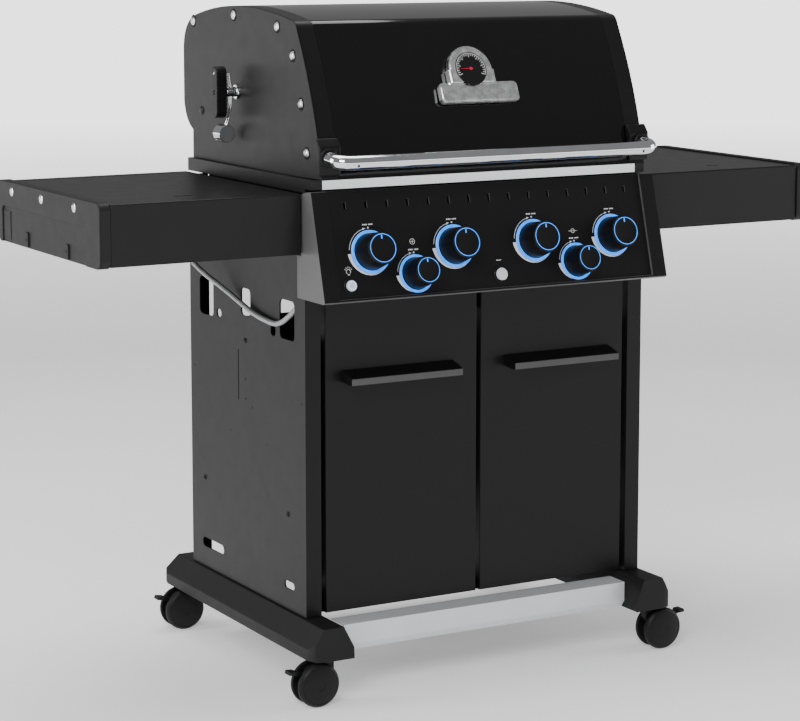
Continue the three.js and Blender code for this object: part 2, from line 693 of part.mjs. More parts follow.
function lidShell() {
  return prismX(lidBand(false, 3), -LID_PANEL_HALF, LID_PANEL_HALF);
}

function lidCap() {
  const face = outline(lidArc(true));
  face.holes.push(roundHole(LID_HINGE.y, LID_HINGE.z, 6.3), roundHole(SPIT.y, SPIT.z, 11));
  const inner = LID_PANEL_HALF + GAP;
  return join(prismX(face, LID_HALF - 4, LID_HALF, 6), prismX(lidBand(true, 5), inner, LID_HALF - 1));
}

// Chrome tube with bent ends, on a block at each lower corner of the lid's front.
function lidHandle() {
  const bar = { x: 294, y: -75, z: 938 };
  const route = new THREE.CurvePath();
  const at = (x, y, z) => new THREE.Vector3(x, y, z);
  const root = 321;
  const elbow = (side) => [
    at(side * root, -34, 944), at(side * root, -50, 942),
    at(side * root, bar.y, bar.z), at(side * bar.x, bar.y, bar.z),
  ];
  const [leftRoot, leftNeck, leftCorner, leftEnd] = elbow(-1);
  const [rightRoot, rightNeck, rightCorner, rightEnd] = elbow(1);
  route.add(new THREE.LineCurve3(leftRoot, leftNeck));
  route.add(new THREE.QuadraticBezierCurve3(leftNeck, leftCorner, leftEnd));
  route.add(new THREE.LineCurve3(leftEnd, rightEnd));
  route.add(new THREE.QuadraticBezierCurve3(rightEnd, rightCorner, rightNeck));
  route.add(new THREE.LineCurve3(rightNeck, rightRoot));
  const section = new THREE.Shape().absarc(0, 0, 12.5, 0, Math.PI * 2);
  const tube = new THREE.ExtrudeGeometry(section, {
    steps: 40, curveSegments: 6, extrudePath: route, bevelEnabled: false,
  });
  const block = outline([
    [-34, 917], [-34, 962], [-22, 977], [-14.8, 975], [-20.8, 953], [-26.2, 928], [-29.8, 911],
  ]);
  return join(tube, prismX(block, 296, 337), prismX(block, -337, -296));
}

// Round-topped thermometer case over a blank plate, laid on the lid's sloping front.
function thermometer() {
  const arch = new THREE.Shape();
  arch.moveTo(-47, 0);
  arch.lineTo(47, 0);
  arch.lineTo(47, 26);
  arch.absarc(0, 26, 44, 0, Math.PI);
  arch.lineTo(-47, 26);
  arch.closePath();
  const body = extrude(arch, 13, 6);
  const plate = extrude(roundedRect(-70, -34, 90, 3, 6), 9, 2);
  const lean = Math.atan2(12.6 - 39.8, 1116 - 1054.6);
  return join(body, plate).rotateX(Math.PI / 2 + lean).translate(-13.5, 10.3, 1055.2);
}

// ---------- spit ----------
function spitRod() {
  const { y, z } = SPIT;
  const rod = rodX(-376, 346, y, z, 4.5, 12);
  const collar = rodX(-340, -322, y, z, 9.5);
  const forks = [-1, 1].flatMap((side) => {
    const x = side * 170;
    const tip = x - side * 75;
    const [near, far] = side > 0 ? [tip, x] : [x, tip];
    return [
      rodX(x - 9, x + 9, y, z, 11, 12),
      box(x - 3, x + 3, y - 5, y + 5, z - 40, z + 40),
      rodX(near, far, y, z - 36, 3, 8),
      rodX(near, far, y, z + 36, 3, 8),
    ];
  });
  return join(rod, collar, ...forks);
}

function spitHandle() {
  const shape = roundedRect(SPIT.y - 12, SPIT.z - 46, SPIT.y + 12, SPIT.z + 46, 11);
  const grip = prismX(shape, -376, -356);
  return cut(grip, rodX(-380, -350, SPIT.y, SPIT.z, 4.9, 12));
}

function counterweight() {
  const { y, z } = SPIT;
  const hub = rodX(-355, -341, y, z, 9);
  const arm = box(-352, -348, y - 4, y + 4, z - 62, z + 34);
  const weight = rodY(y - 14, y + 14, -357, z - 74, 16, 16);
  return cut(join(hub, arm, weight), rodX(-360, -338, y, z, 4.9, 12));
}

function spitMotor() {
  const { y, z } = SPIT;
  const casing = prismX(roundedRect(y - 52, z - 46, y + 52, z + 46, 10), 340, 424);
  const bracket = box(LID_HALF + GAP, 341, y - 40, y + 40, z - 36, z + 36);
  return cut(join(casing, bracket), rodX(LID_HALF - 1, 360, y, z, 10.5));
}

// ---------- assembly ----------
const socketed = cut(skid(), ...stemSockets());
addPair('base_skid', socketed, mouldedGrey);
add('base_rail', baseRail(), silver);
addCasters();

addPair('side_panel', sidePanel(), sheetBlack);
add('back_panel', backPanel(), sheetBlack);
add('cabinet_floor', cabinetFloor(), sheetBlack);
addPair('door', door(), sheetBlack);
add('door_handle_left', doorHandle(-277, -54), castBlack);
add('door_handle_right', doorHandle(54, 277), castBlack);

add('shelf_right', rightShelf(), shelfGrey);
add('shelf_left', leftShelf(), shelfGrey);
add('side_burner_lid', burnerLid(), shelfGrey);
add('side_burner', sideBurner(), castIron);
addPair('shelf_cap', shelfCap(), mouldedGrey);

add('firebox', firebox(), castBlack);
add('front_trim', frontTrim(), stainless);
add('grease_tray', greaseTray(), stainless);
LARGE_KNOBS.forEach((x, i) => add(`burner_${i + 1}`, burnerTube(x), stainless));
add('heat_plates', heatPlates(), stainless);
add('cooking_grid_left', cookingGrid(-317, -0.5), castIron);
add('cooking_grid_right', cookingGrid(0.5, 317), castIron);
add('rear_burner', rearBurner(), stainless);
add('gas_manifold', manifold(), stainless);
add('gas_hose', gasHose(), stainless);

add('control_panel', controlPanel(), trimGrey);
addControls();

add('lid_shell', lidShell(), enamel);
addPair('lid_cap', lidCap(), castBlack);
add('lid_handle', lidHandle(), chrome);
add('thermometer', thermometer(), chrome);
add('spit_motor', spitMotor(), stainless);
add('spit_rod', spitRod(), stainless);
add('spit_handle', spitHandle(), castBlack);
add('counterweight', counterweight(), chrome);

// The frame's origin is on the floor under the middle of the grill's bounding box.
const reach = new THREE.Box3().setFromObject(assembly, true);
assembly.position.y = -(reach.min.y + reach.max.y) / 2;

const grill = new THREE.Group();
grill.add(assembly);

export default grill;
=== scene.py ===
import json
import math

import bmesh
import bpy
from mathutils import Matrix, Vector

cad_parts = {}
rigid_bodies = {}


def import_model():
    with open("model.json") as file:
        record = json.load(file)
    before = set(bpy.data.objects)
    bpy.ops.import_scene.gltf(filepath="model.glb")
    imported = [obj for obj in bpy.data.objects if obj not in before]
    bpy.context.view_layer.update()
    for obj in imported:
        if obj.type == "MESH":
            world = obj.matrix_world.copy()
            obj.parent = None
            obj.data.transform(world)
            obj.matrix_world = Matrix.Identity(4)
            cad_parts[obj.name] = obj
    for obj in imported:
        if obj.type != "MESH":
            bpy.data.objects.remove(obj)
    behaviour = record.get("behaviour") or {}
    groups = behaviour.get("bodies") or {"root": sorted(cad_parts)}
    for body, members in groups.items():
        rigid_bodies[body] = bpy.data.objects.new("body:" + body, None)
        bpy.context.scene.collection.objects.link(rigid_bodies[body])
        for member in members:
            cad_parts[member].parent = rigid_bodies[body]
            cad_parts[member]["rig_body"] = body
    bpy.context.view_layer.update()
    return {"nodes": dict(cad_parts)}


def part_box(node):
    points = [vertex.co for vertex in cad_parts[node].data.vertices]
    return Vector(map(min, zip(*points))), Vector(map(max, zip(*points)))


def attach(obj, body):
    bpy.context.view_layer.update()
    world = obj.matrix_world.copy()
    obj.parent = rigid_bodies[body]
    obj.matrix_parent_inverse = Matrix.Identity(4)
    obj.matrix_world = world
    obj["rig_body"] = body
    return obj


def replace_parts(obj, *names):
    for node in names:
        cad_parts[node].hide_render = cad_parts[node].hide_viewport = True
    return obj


# Gas barbecue grill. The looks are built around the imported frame, in metres.
# Sizes below are in millimetres from the middle (x), the cabinet's front plane (y)
# and the floor (z); at() turns them into points of the frame.
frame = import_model()
MM = 0.001
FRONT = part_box("side_panel_left")[0].y

SIDES = {"left": -1, "right": 1}

# Control panel: its sloping face starts here and leans back by PANEL_TILT.
PANEL_TOP = (-27.4, 886.0)
PANEL_FOOT = (-77.4, 703.0)
PANEL_TILT = math.atan2(PANEL_TOP[1] - PANEL_FOOT[1], PANEL_TOP[0] - PANEL_FOOT[0])
FASCIA_HALF = 321.4
FASCIA_SINK = 5.0
LARGE_KNOBS = (-248, -82, 82, 248)
SMALL_KNOBS = {"side_burner": -165, "rear_burner": 165}
LARGE_DROP, SMALL_DROP, BUTTON_DROP = 107, 150, 163
LIGHT_X, IGNITION_X = -296, 3

LID_HALF, LID_PANEL_HALF = 331.0, 297.6
LID_HINGE = (449, 995)
SPIT = (299, 1038)
CASTERS = {"front": -52, "rear": 502}
CASTER_X, CASTER_TRAIL, WHEEL_R = 338, 22, 39
SHELF_CAP_FACE = 725.0


def at(x, y, z):
    return Vector((x * MM, y * MM + FRONT, z * MM))


def srgb(code):
    """Linear colour of a #rrggbb code."""
    parts = [int(code[i:i + 2], 16) / 255 for i in (1, 3, 5)]
    linear = [c / 12.92 if c <= 0.04045 else ((c + 0.055) / 1.055) ** 2.4 for c in parts]
    return (*linear, 1.0)


def shade(colour, factor):
    return (*[min(c * factor, 1.0) for c in colour[:3]], 1.0)


# ---------- camera ----------
def add_camera():
    yaw, pitch = math.radians(29.361), math.radians(7.689)
    forward = Vector((math.sin(yaw) * math.cos(pitch), math.cos(yaw) * math.cos(pitch), -math.sin(pitch)))
    data = bpy.data.cameras.new("camera")
    data.sensor_width = 36
    data.lens = 111.52
    data.shift_y = -0.12
    data.clip_end = 200
    camera = bpy.data.objects.new("camera", data)
    bpy.context.scene.collection.objects.link(camera)
    camera.location = at(-162.35, 0, 748.18) - forward * 4.32062
    camera.rotation_euler = forward.to_track_quat("-Z", "Y").to_euler()
    bpy.context.scene.camera = camera


# ---------- materials ----------
class Nodes:
    """A material under construction, with short calls for the nodes it is made of."""

    def __init__(self, name):
        self.material = bpy.data.materials.new(name)
        self.material.use_nodes = True
        self.tree = self.material.node_tree
        self.surface = self.tree.nodes["Principled BSDF"]
        self.place = self.new("ShaderNodeTexCoord").outputs["Object"]

    def new(self, kind, **settings):
        node = self.tree.nodes.new(kind)
        for key, value in settings.items():
            setattr(node, key, value)
        return node

    def link(self, source, target):
        self.tree.links.new(source, target)

    def set(self, **values):
        for key, value in values.items():
            self.surface.inputs[key.replace("_", " ")].default_value = value

    def noise(self, size_mm, detail=3.0, stretch=(1, 1, 1)):
        mapping = self.new("ShaderNodeMapping")
        mapping.inputs["Scale"].default_value = stretch
        self.link(self.place, mapping.inputs["Vector"])
        noise = self.new("ShaderNodeTexNoise")
        noise.inputs["Scale"].default_value = 1 / (size_mm * MM)
        noise.inputs["Detail"].default_value = detail
        self.link(mapping.outputs["Vector"], noise.inputs["Vector"])
        return noise.outputs["Fac"]

    def ramp(self, source, low, high, start=0.3, end=0.7):
        ramp = self.new("ShaderNodeValToRGB")
        ramp.color_ramp.elements[0].position = start
        ramp.color_ramp.elements[1].position = end
        ramp.color_ramp.elements[0].color = low
        ramp.color_ramp.elements[1].color = high
        self.link(source, ramp.inputs["Fac"])
        return ramp.outputs["Color"]

    def spread(self, source, low, high, start=0.3, end=0.7):
        spread = self.new("ShaderNodeMapRange")
        for key, value in zip(("From Min", "From Max", "To Min", "To Max"), (start, end, low, high)):
            spread.inputs[key].default_value = value
        self.link(source, spread.inputs["Value"])
        return spread.outputs["Result"]

    def bump(self, source, depth_mm, strength=0.5):
        bump = self.new("ShaderNodeBump")
        bump.inputs["Strength"].default_value = strength
        bump.inputs["Distance"].default_value = depth_mm * MM
        self.link(source, bump.inputs["Height"])
        self.link(bump.outputs["Normal"], self.surface.inputs["Normal"])

    def edge_wear(self, colour, worn, amount):
        """Mixes worn into a colour along convex edges."""
        edges = self.ramp(self.new("ShaderNodeNewGeometry").outputs["Pointiness"],
                          (0, 0, 0, 1), (amount, amount, amount, 1), 0.53, 0.62)
        mix = self.new("ShaderNodeMix", data_type="RGBA")
        self.link(edges, mix.inputs["Factor"])
        self.link(colour, mix.inputs["A"])
        mix.inputs["B"].default_value = worn
        return mix.outputs["Result"]


def painted(name, code, roughness, grain_mm=0.5, grain_depth=0.03, coat=0.0, metal=0.0, wear=0.18, vary=0.04,
            gloss=0.22):
    """Paint, powder coat or moulded plastic: mottled colour, uneven gloss, a fine grain and rubbed edges."""
    n = Nodes(name)
    base = srgb(code)
    mottled = n.ramp(n.noise(70, 5), shade(base, 1 - vary), shade(base, 1 + vary))
    n.link(n.edge_wear(mottled, shade(base, 2.4), wear), n.surface.inputs["Base Color"])
    n.link(n.spread(n.noise(26, 6), roughness * 0.95, roughness * 1.06), n.surface.inputs["Roughness"])
    n.bump(n.noise(grain_mm, 2), grain_depth)
    n.set(Metallic=metal, Coat_Weight=coat, Coat_Roughness=0.04, Specular_IOR_Level=gloss)
    return n.material


def polished(name, code, roughness):
    """Bright plated metal, with faint smears and a slight ripple."""
    n = Nodes(name)
    base = srgb(code)
    n.link(n.ramp(n.noise(40, 4), shade(base, 0.9), base), n.surface.inputs["Base Color"])
    n.link(n.spread(n.noise(11, 6), roughness, roughness * 2.6), n.surface.inputs["Roughness"])
    n.bump(n.noise(30, 1), 0.05, 0.12)
    n.set(Metallic=1.0)
    return n.material


def brushed(name, code, roughness, along=(0.02, 1, 1)):
    """Sheet metal with a grain drawn out along one direction."""
    n = Nodes(name)
    base = srgb(code)
    grain = n.noise(0.7, 3, along)
    n.link(n.ramp(grain, shade(base, 0.84), shade(base, 1.08)), n.surface.inputs["Base Color"])
    n.link(n.spread(grain, roughness * 0.75, roughness * 1.3), n.surface.inputs["Roughness"])
    n.bump(grain, 0.03, 0.3)
    n.set(Metallic=1.0)
    return n.material


def braided(name, code):
    """Two sets of wires wound round a hose in opposite directions."""
    n = Nodes(name)
    base = srgb(code)
    split = n.new("ShaderNodeSeparateXYZ")
    n.link(n.new("ShaderNodeTexCoord").outputs["UV"], split.inputs["Vector"])

    def strand(slope):
        along = n.new("ShaderNodeMath", operation="MULTIPLY")
        along.inputs[1].default_value = slope
        n.link(split.outputs["X"], along.inputs[0])
        around = n.new("ShaderNodeMath", operation="MULTIPLY_ADD")
        around.inputs[1].default_value = 2 * math.pi * 5
        n.link(split.outputs["Y"], around.inputs[0])
        n.link(along.outputs[0], around.inputs[2])
        wave = n.new("ShaderNodeMath", operation="SINE")
        n.link(around.outputs[0], wave.inputs[0])
        return wave.outputs[0]

    weave = n.new("ShaderNodeMath", operation="MULTIPLY")
    n.link(strand(620), weave.inputs[0])
    n.link(strand(-620), weave.inputs[1])
    n.link(n.ramp(weave.outputs[0], shade(base, 0.35), base, 0.0, 0.5), n.surface.inputs["Base Color"])
    n.link(n.spread(n.noise(3), 0.28, 0.42), n.surface.inputs["Roughness"])
    n.bump(weave.outputs[0], 0.5, 0.8)
    n.set(Metallic=0.4)
    return n.material


def cast_surface(name, code):
    """Rough cast iron with a seasoned, patchy skin."""
    n = Nodes(name)
    base = srgb(code)
    n.link(n.ramp(n.noise(14, 6), shade(base, 0.6), shade(base, 1.5)), n.surface.inputs["Base Color"])
    n.link(n.spread(n.noise(5, 5), 0.5, 0.78), n.surface.inputs["Roughness"])
    n.bump(n.noise(1.4, 4), 0.18, 0.7)
    n.set(Metallic=0.35)
    return n.material


def lit(name, code, strength):
    """Glowing plastic, a little uneven along its length."""
    n = Nodes(name)
    base = srgb(code)
    n.link(n.ramp(n.noise(9, 2), shade(base, 0.8), shade(base, 1.15)), n.surface.inputs["Emission Color"])
    n.link(n.ramp(n.noise(9, 2), shade(base, 0.7), base), n.surface.inputs["Base Color"])
    n.link(n.spread(n.noise(4), 0.2, 0.32), n.surface.inputs["Roughness"])
    n.set(Emission_Strength=strength)
    return n.material


MATERIALS = {
    "enamel": (painted("enamel", "#090909", 0.09, 6.0, 0.02, coat=0.45, wear=0.03, vary=0.03), "enamel_black"),
    "cast": (painted("cast", "#1c1c1c", 0.42, 0.9, 0.06, wear=0.12), "cast_black"),
    # A darker copy of the cast paint, put on the lid caps' curved rim faces as painted shade.
    "cast_rim_painted_shade": (painted("cast_rim_painted_shade", "#121212", 0.36, 0.9, 0.06, wear=0.1), "cast_black"),
    "sheet": (painted("sheet", "#0f0f0f", 0.4, 0.45, 0.03, wear=0.12), "sheet_black"),
    "door": (painted("door", "#0f0f0f", 0.36, 0.45, 0.025, wear=0.12), "sheet_black"),
    "shelf": (painted("shelf", "#161616", 0.36, 0.6, 0.04, wear=0.12), "shelf_grey"),
    "moulded": (painted("moulded", "#1b1b1b", 0.5, 0.7, 0.08, wear=0.1), "moulded_grey"),
    "trim": (painted("trim", "#5c5c5c", 0.38, 0.5, 0.03, wear=0.15), "trim_grey"),
    "fascia": (painted("fascia", "#141415", 0.34, 0.4, 0.02, wear=0.05), "fascia_black"),
    "chrome": (polished("chrome", "#e6e7ea", 0.035), "chrome"),
    "bright": (polished("bright", "#f6f7f8", 0.17), "chrome"),
    "stainless": (brushed("stainless", "#b9bbbd", 0.28), "stainless"),
    "trim_steel": (brushed("trim_steel", "#d2d4d6", 0.22), "stainless"),
    "braid": (braided("braid", "#e2e4e6"), "braided_steel"),
    "rail": (painted("rail", "#dfe1e4", 0.34, 0.5, 0.02, metal=0.25, wear=0.0, vary=0.03), "rail_silver"),
    "iron": (cast_surface("iron", "#151515"), "cast_iron"),
    "caster": (painted("caster", "#161617", 0.46, 0.8, 0.06, wear=0.1), "caster_plastic"),
    "knob": (painted("knob", "#0e0e0f", 0.4, 0.5, 0.03, wear=0.1), "knob_black"),
    "handle_front": (painted("handle_front", "#4a4a4a", 0.38, 0.5, 0.03, wear=0.15), "trim_grey"),
    "blue": (lit("blue", "#2b86f0", 1.5), "light_blue"),
    "pale_blue": (lit("pale_blue", "#b9d4ff", 1.2), "light_blue"),
    "print": (painted("print", "#e2e2e2", 0.5, 0.3, 0.01, wear=0.0, vary=0.04), "print_white"),
    "button": (painted("button", "#d5d7db", 0.25, 0.5, 0.01, coat=0.5, wear=0.0, vary=0.03), "button_white"),
    "red": (painted("red", "#c4123a", 0.3, 0.4, 0.01, wear=0.0), "needle_red"),
    # Near-black: painted shade in the side holes and slit, the shelf cap holes and the lid cap bolt pockets;
    # also the real black of the thermometer dial.
    "painted_shade_and_dial_black": (painted("painted_shade_and_dial_black", "#050505", 0.7, 0.6, 0.05, wear=0.0), "dark_gap"),
}


# ---------- mesh helpers ----------
def sharp_edges(bm, angle=28):
    limit = math.radians(angle)
    return [e for e in bm.edges if len(e.link_faces) == 2 and e.calc_face_angle(0) > limit]


def bevel(bm, edges, width_mm, segments=3):
    if edges:
        bmesh.ops.bevel(bm, geom=edges, offset=width_mm * MM, segments=segments, profile=0.5,
                        affect="EDGES", clamp_overlap=True)


def piece(name, bm, look, body, looks=(), pick=None, smooth=32):
    """Makes an object of a mesh. pick(face) gives the index of a face's look."""
    bmesh.ops.recalc_face_normals(bm, faces=bm.faces)
    if pick:
        for face in bm.faces:
            face.material_index = pick(face)
    mesh = bpy.data.meshes.new(name)
    bm.to_mesh(mesh)
    bm.free()
    for key in (look, *looks):
        mesh.materials.append(MATERIALS[key][0])
    mesh.shade_smooth()
    mesh.set_sharp_from_angle(angle=math.radians(smooth))
    obj = bpy.data.objects.new(name, mesh)
    bpy.context.scene.collection.objects.link(obj)
    even = obj.modifiers.new("even_shading", "WEIGHTED_NORMAL")
    even.keep_sharp = True
    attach(obj, body)
    return obj


def refined(node, look, width_mm=1.0, segments=2, edges=None, **extra):
    """A CAD node's own shape with rounded edges. edges(edge) limits which ones are rounded."""
    source = frame["nodes"][node]
    bm = bmesh.new()
    bm.from_mesh(source.data)
    bmesh.ops.remove_doubles(bm, verts=bm.verts, dist=1e-5)
    bmesh.ops.dissolve_limit(bm, angle_limit=math.radians(1), verts=bm.verts, edges=bm.edges)
    chosen = [e for e in sharp_edges(bm) if edges is None or edges(e)]
    bevel(bm, chosen, width_mm, segments)
    obj = piece(f"{node}_body", bm, look, source["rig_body"], **extra)
    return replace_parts(obj, node)


def prism(bm, points, axis, lo, hi, width_mm=0.0, segments=2):
    """An outline carried along an axis: (y, z) along x, (x, z) along y or (x, y) along z."""
    def place(a, b, c):
        return {"x": (c, a, b), "y": (a, c, b), "z": (a, b, c)}[axis]

    verts = [bm.verts.new(at(*place(a, b, lo))) for a, b in points]
    face = bm.faces.new(verts)
    grown = bmesh.ops.extrude_face_region(bm, geom=[face])["geom"]
    ends = [v for v in grown if isinstance(v, bmesh.types.BMVert)]
    step = at(*place(0, 0, hi)) - at(*place(0, 0, lo))
    bmesh.ops.translate(bm, verts=ends, vec=step)
    if width_mm:
        mine = set(verts) | set(ends)
        bevel(bm, [e for e in sharp_edges(bm) if set(e.verts) <= mine], width_mm, segments)


def rounded_rect(a0, b0, a1, b1, r, steps=6):
    points = []
    corners = ((a1 - r, b0 + r, -90), (a1 - r, b1 - r, 0), (a0 + r, b1 - r, 90), (a0 + r, b0 + r, 180))
    for ca, cb, start in corners:
        for i in range(steps + 1):
            angle = math.radians(start + 90 * i / steps)
            points.append((ca + r * math.cos(angle), cb + r * math.sin(angle)))
    return points


def lathe(bm, profile, matrix, steps=48):
    """A [radius, height] profile in mm turned about the local Z of a matrix."""
    rings = []
    for r, h in profile:
        count = 1 if r == 0 else steps
        rings.append([bm.verts.new(matrix @ Vector((
            r * MM * math.cos(2 * math.pi * i / steps), r * MM * math.sin(2 * math.pi * i / steps), h * MM)))
            for i in range(count)])
    for low, high in zip(rings, rings[1:]):
        for i in range(steps):
            j = (i + 1) % steps
            corners = [low[i % len(low)], low[j % len(low)], high[j % len(high)], high[i % len(high)]]
            unique = list(dict.fromkeys(corners))
            if len(unique) > 2:
                bm.faces.new(unique)


def sweep(bm, points, r, steps=16, squash=1.0):
    """A closed tube of radius r mm along points given in frame metres."""
    rings = []
    normal = None
    for i, p in enumerate(points):
        ahead = points[min(i + 1, len(points) - 1)] - points[max(i - 1, 0)]
        tangent = ahead.normalized()
        if normal is None:
            guess = Vector((0, 0, 1)) if abs(tangent.z) < 0.9 else Vector((1, 0, 0))
            normal = tangent.cross(guess).normalized()
        normal = (normal - tangent * normal.dot(tangent)).normalized()
        binormal = tangent.cross(normal)
        rings.append([bm.verts.new(p + (normal * math.cos(t) + binormal * math.sin(t) * squash) * r * MM)
                      for t in (2 * math.pi * k / steps for k in range(steps))])
    for low, high in zip(rings, rings[1:]):
        for k in range(steps):
            bm.faces.new((low[k], low[(k + 1) % steps], high[(k + 1) % steps], high[k]))
    bm.faces.new(rings[0])
    bm.faces.new(rings[-1])


def facing(point, direction):
    """A matrix at a point of the frame whose Z looks along a direction."""
    turn = Vector(direction).normalized().to_track_quat("Z", "Y").to_matrix().to_4x4()
    return Matrix.Translation(point) @ turn


def bolt_head(bm, point, direction, r, height=2.4, socket=True):
    """A domed button head, with a hexagon socket."""
    matrix = facing(point, direction)
    dome = [(r, 0), (r, height * 0.25), (r * 0.86, height * 0.68), (r * 0.6, height * 0.93)]
    middle = [(r * 0.42, height), (r * 0.38, height * 0.5), (0, height * 0.5)] if socket else [(0, height)]
    lathe(bm, [(0, 0), *dome, *middle], matrix, 24)


def quadratic(start, control, end, steps):
    for i in range(1, steps + 1):
        t = i / steps
        yield tuple((1 - t) ** 2 * a + 2 * t * (1 - t) * b + t * t * c
                    for a, b, c in zip(start, control, end))


# ---------- gas hose ----------
HOSE_RADIUS = 4.75
HOSE_ROUTE = (
    (-390, 408, 780.7), (-390, 408, 770), (-390, 405.3, 754.6), (-389.6, 397.5, 741.1),
    (-388.6, 386.8, 731.8), (-386.2, 370, 721.9), (-381.4, 350, 710.6), (-374.5, 328, 699.2),
    (-367, 305, 688.5), (-361, 280, 678.1), (-357.5, 255, 669.1), (-356.2, 228, 661.2),
    (-355.8, 198, 653.8), (-355.8, 168, 648.8), (-355.8, 136, 645.6), (-355.8, 105.8, 644.5),
    (-354.6, 91, 646.5), (-351.1, 77.6, 652.4), (-345.3, 66.4, 662.2), (-336.9, 55, 676.3),
    (-324.3, 37.9, 697.5), (-311.7, 20.8, 718.8), (-299.1, 3.7, 740),
)


def through(points, steps=5):
    """A centripetal Catmull-Rom line through points."""
    first, last = points[0] * 2 - points[1], points[-1] * 2 - points[-2]
    padded = [first, *points, last]
    line = [points[0]]
    for a, b, c, d in zip(padded, padded[1:], padded[2:], padded[3:]):
        t1 = (b - a).length ** 0.5
        t2 = t1 + (c - b).length ** 0.5
        t3 = t2 + (d - c).length ** 0.5
        for i in range(1, steps + 1):
            t = t1 + (t2 - t1) * i / steps
            p1 = a * ((t1 - t) / t1) + b * (t / t1)
            p2 = b * ((t2 - t) / (t2 - t1)) + c * ((t - t1) / (t2 - t1))
            p3 = c * ((t3 - t) / (t3 - t2)) + d * ((t - t2) / (t3 - t2))
            q1 = p1 * ((t2 - t) / t2) + p2 * (t / t2)
            q2 = p2 * ((t3 - t) / (t3 - t1)) + p3 * ((t - t1) / (t3 - t1))
            line.append(q1 * ((t2 - t) / (t2 - t1)) + q2 * ((t - t1) / (t2 - t1)))
    return line


def add_hose():
    line = through([at(*p) for p in HOSE_ROUTE])
    data = bpy.data.curves.new("hose", "CURVE")
    data.dimensions = "3D"
    data.bevel_depth = HOSE_RADIUS * MM
    data.bevel_resolution = 5
    data.use_fill_caps = True
    spline = data.splines.new("POLY")
    spline.points.add(len(line) - 1)
    for point, p in zip(spline.points, line):
        point.co = (*p, 1)
    data.materials.append(MATERIALS["braid"][0])
    hose = bpy.data.objects.new("hose", data)
    bpy.context.scene.collection.objects.link(hose)
    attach(hose, "cabinet")
    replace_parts(hose, "gas_hose")


# ---------- wheeled base ----------
def add_base():
    for side in SIDES:
        refined(f"base_skid_{side}", "moulded", 3.0, 3)
    refined("base_rail", "rail", 0.7, 2)


def caster_frame(row, side):
    sign = SIDES[side]
    turn = Matrix.Rotation(0 if sign > 0 else math.pi, 4, "Z")
    return Matrix.Translation(at(sign * CASTER_X, CASTERS[row], 0)) @ turn


def add_caster(row, side):
    name = f"{row}_{side}"
    wheel = caster_frame(row, side) @ Matrix.Translation(Vector((CASTER_TRAIL, 0, WHEEL_R)) * MM)
    wheel = wheel @ Matrix.Rotation(math.pi / 2, 4, "X")
    bm = bmesh.new()
    tyre = [(38.2, 10.0), (WHEEL_R, 11.5), (WHEEL_R, 14.8), (38.2, 17.4), (35.6, 20.6)]
    disc = [(33.6, 21.8), (32.9, 21.1), (31.6, 21.6), (24, 23.9)]
    disc += [(12, 24.8), (8.4, 24.9), (7.8, 24.2), (0, 24.2)]
    for way in (1, -1):
        half = [(0, 9.6), (34, 9.6), *tyre, *disc]
        lathe(bm, [(r, way * h) for r, h in half], wheel, 64)
    lathe(bm, [(0, -9.6), (4.6, -9.6), (4.6, 9.6), (0, 9.6)], wheel, 24)
    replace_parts(piece(f"wheel_{name}_pair", bm, "caster", f"wheel_{name}", smooth=25), f"caster_wheel_{name}")
    refined(f"caster_housing_{name}", "caster", 0.8, 2)
    refined(f"brake_lever_{name}", "caster", 0.7, 2)


# ---------- cabinet ----------
SIDE_SCREWS = ((236, 595), (413, 310), (69, 310))
# Holes and a slit in each side panel, drawn as thin near-black discs and a strip on the panel face: painted
# shade standing for the dark inside of the holes.
SIDE_HOLES = (
    (235, 525, 2.6), (235, 489, 2.6), (208, 477, 2), (455, 518, 2),
    (14, 516, 2), (300, 420, 1.6), (150, 420, 1.6),
)
SIDE_SLIT = (263.9, 482, 266.1, 575)


def add_cabinet():
    for side, sign in SIDES.items():
        refined(f"side_panel_{side}", "sheet", 0.5, 2)
        bm = bmesh.new()
        for y, z in SIDE_SCREWS:
            bolt_head(bm, at(sign * 349, y, z), (sign, 0, 0), 5, 2)
        piece(f"side_screws_{side}", bm, "knob", "cabinet")
        # Thin near-black discs and a strip: painted shade where the holes and the slit are.
        bm = bmesh.new()
        for y, z, r in SIDE_HOLES:
            lathe(bm, [(0, 0), (r, 0), (r, 0.12), (0, 0.12)], facing(at(sign * 349, y, z), (sign, 0, 0)), 20)
        prism(bm, rounded_rect(*SIDE_SLIT, 1, 3), "x", *sorted((sign * 349, sign * 349.15)))
        piece(f"side_holes_{side}", bm, "painted_shade_and_dial_black", "cabinet")
    refined("back_panel", "sheet", 0.4, 2)
    refined("cabinet_floor", "sheet", 0.4, 2)


def add_doors():
    for side, sign in SIDES.items():
        outer = refined(f"door_{side}", "door", 1.4, 3, edges=on_door_front)
        outer.name = f"door_{side}_pan"
        handle = refined(f"door_handle_{side}", "knob", 1.2, 3, looks=("handle_front",), pick=facing_front)
        handle.name = f"door_handle_{side}_bar"


def on_door_front(edge):
    front = at(0, 2, 0).y
    return all(abs(v.co.y - front) < 1e-4 for v in edge.verts)


def facing_front(face):
    return 1 if face.normal.y < -0.75 and face.calc_center_median().y < at(0, -33, 0).y else 0


# ---------- side shelves ----------
def on_outer_skin(edge):
    """The rim of a shelf's top and its outer upright corners."""
    top = at(0, 0, 882).z
    front, back = at(0, 0, 0).y, at(0, 467, 0).y
    rim = all(abs(v.co.z - top) < 1e-4 for v in edge.verts)
    outside = all(min(abs(v.co.y - front), abs(v.co.y - back)) < 1e-4 for v in edge.verts)
    upright = abs(edge.verts[0].co.z - edge.verts[1].co.z) > 50 * MM
    return (rim and edge_is_on_boundary(edge)) or (outside and upright)


